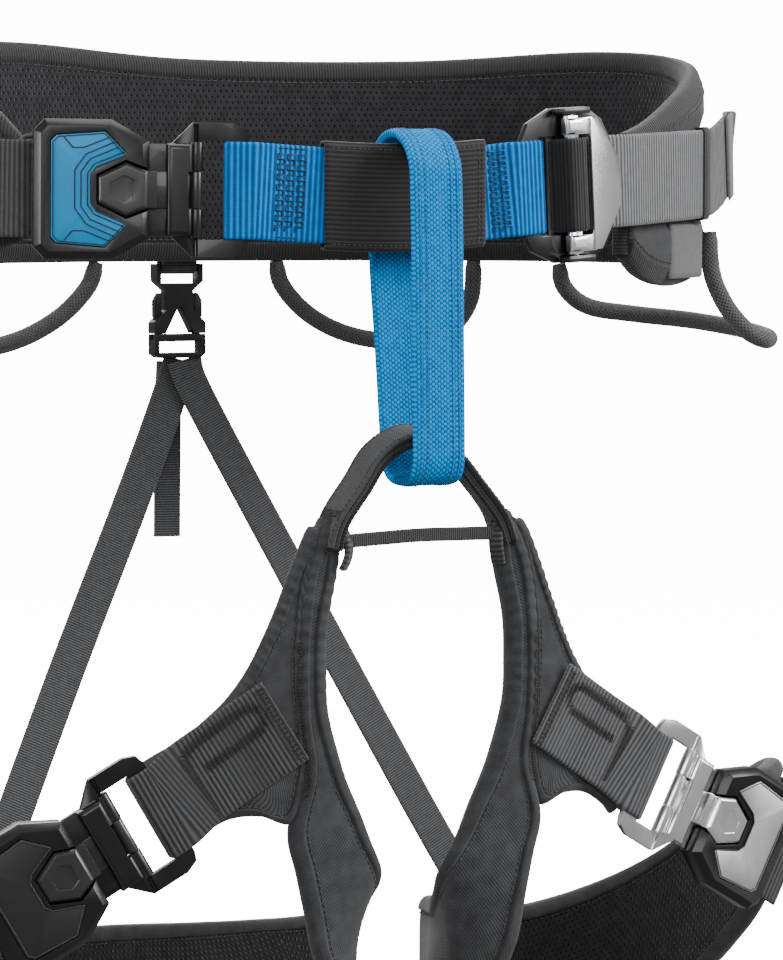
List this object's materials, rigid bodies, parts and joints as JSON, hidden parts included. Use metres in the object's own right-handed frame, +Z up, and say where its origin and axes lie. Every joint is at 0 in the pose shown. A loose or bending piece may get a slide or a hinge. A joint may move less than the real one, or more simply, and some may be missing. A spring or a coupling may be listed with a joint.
{
  "type": "climbing harness",
  "caption": "Sit harness with a padded waist belt, click buckles, belay loop, bridged adjustable leg loops, stiff gear loops and elastic rear risers.",
  "frame": {"origin": "centre of the waist ring, level with the middle of the tie-in webbing in front", "axes": "+X to the wearer's left, +Y to the wearer's back, +Z up"},
  "size_m": [0.5308, 0.2922, 0.5385],
  "materials": {
    "liner": "perforated mesh",
    "foam": "closed-cell foam",
    "shell_fabric": "twill",
    "binding": "ribbed tape",
    "cover_fabric": "twill",
    "blue_webbing": "ribbed webbing",
    "protector": "ribbed tube",
    "grey_webbing": "ribbed webbing",
    "trim_fabric": "tape",
    "gear_sleeve": "braided sleeve",
    "elastic": "woven elastic",
    "silver_metal": "polished",
    "blue_inlay": "matte",
    "dark_inlay": "matte",
    "black_metal": "satin black",
    "black_plastic": "satin"
  },
  "bodies": {
    "harness": {"adjuster_base": "black_metal", "belay_loop": "blue_webbing", "belt_end_tab": "trim_fabric", "gear_loop_left_rear": "gear_sleeve", "gear_loop_left_side": "gear_sleeve", "gear_loop_right_rear": "gear_sleeve", "gear_loop_right_side": "gear_sleeve", "rear_buckle_body": "black_plastic", "rear_buckle_yoke": "black_plastic", "riser_strap_left": "elastic", "riser_strap_right": "elastic", "riser_tab": "trim_fabric", "riser_tail": "elastic", "strap_keeper": "trim_fabric", "tie_in_protector": "protector", "tie_in_webbing": "blue_webbing", "waist_buckle_base": "black_metal", "waist_buckle_cover": "black_metal", "waist_buckle_frame": "black_metal", "waist_buckle_inlay": "blue_inlay", "waist_buckle_pin": "black_metal", "waist_pad_binding": "binding", "waist_pad_cover": "cover_fabric", "waist_pad_foam": "foam", "waist_pad_liner": "liner", "waist_pad_shell": "shell_fabric", "waist_webbing": "grey_webbing"},
    "leg_loops": {"bridge_cover": "trim_fabric", "bridge_webbing": "grey_webbing", "left_leg_buckle_base": "black_metal", "left_leg_buckle_cover": "black_metal", "left_leg_buckle_frame": "silver_metal", "left_leg_buckle_inlay": "silver_metal", "left_leg_buckle_pin": "silver_metal", "left_leg_foam": "foam", "left_leg_front_panel": "shell_fabric", "left_leg_front_webbing": "grey_webbing", "left_leg_liner": "liner", "left_leg_shell": "shell_fabric", "left_leg_side_webbing": "grey_webbing", "right_leg_buckle_base": "black_metal", "right_leg_buckle_cover": "black_metal", "right_leg_buckle_frame": "black_metal", "right_leg_buckle_inlay": "dark_inlay", "right_leg_buckle_pin": "black_metal", "right_leg_foam": "foam", "right_leg_front_panel": "shell_fabric", "right_leg_front_webbing": "grey_webbing", "right_leg_liner": "liner", "right_leg_shell": "shell_fabric", "right_leg_side_webbing": "grey_webbing", "spreader_elastic": "elastic"},
    "waist_latch": {"waist_buckle_latch": "black_metal"},
    "right_latch": {"right_leg_buckle_latch": "black_metal"},
    "left_latch": {"left_leg_buckle_latch": "black_metal"},
    "slider": {"adjuster_slider": "silver_metal"},
    "right_prong": {"rear_buckle_right_prong": "black_plastic"},
    "left_prong": {"rear_buckle_left_prong": "black_plastic"}
  },
  "joints": [
    {"name": "leg_swing", "type": "hinge", "parent": "harness", "child": "leg_loops", "pos_m": [0, -0.137, -0.1155], "axis": [1, 0, 0], "range_deg": [-18, 12], "deforming": ["riser_strap_left", "riser_strap_right"]},
    {"name": "waist_latch_lift", "type": "hinge", "parent": "harness", "child": "waist_latch", "pos_m": [-0.09956, -0.1172, 0.00177], "axis": [0.0094, -0.0037, 0.9999], "range_deg": [0, 11], "stiffness_Nm_per_rad": 0.02},
    {"name": "right_latch_lift", "type": "hinge", "parent": "leg_loops", "child": "right_latch", "pos_m": [-0.14375, -0.13483, -0.2867], "axis": [-0.4927, 0.0794, 0.8666], "range_deg": [0, 11], "stiffness_Nm_per_rad": 0.02},
    {"name": "left_latch_lift", "type": "hinge", "parent": "leg_loops", "child": "left_latch", "pos_m": [0.14375, -0.13483, -0.2867], "axis": [-0.4927, -0.0794, -0.8666], "range_deg": [0, 11], "stiffness_Nm_per_rad": 0.02},
    {"name": "slider_tilt", "type": "hinge", "parent": "harness", "child": "slider", "pos_m": [0.09352, -0.12253, 0.00476], "axis": [0.0613, 0.0159, -0.998], "range_deg": [0, 20], "stiffness_Nm_per_rad": 0.02},
    {"name": "right_prong_squeeze", "type": "hinge", "parent": "harness", "child": "right_prong", "pos_m": [-0.0105, 0.13, -0.073], "axis": [0, 1, 0], "range_deg": [0, 2.5], "stiffness_Nm_per_rad": 0.02},
    {"name": "left_prong_squeeze", "type": "hinge", "parent": "harness", "child": "left_prong", "pos_m": [0.0105, 0.13, -0.073], "axis": [0, -1, 0], "range_deg": [0, 2.5], "stiffness_Nm_per_rad": 0.02}
  ],
  "couplings": [
    {"joint": "left_prong_squeeze", "follows": "right_prong_squeeze", "ratio": 1}
  ]
}
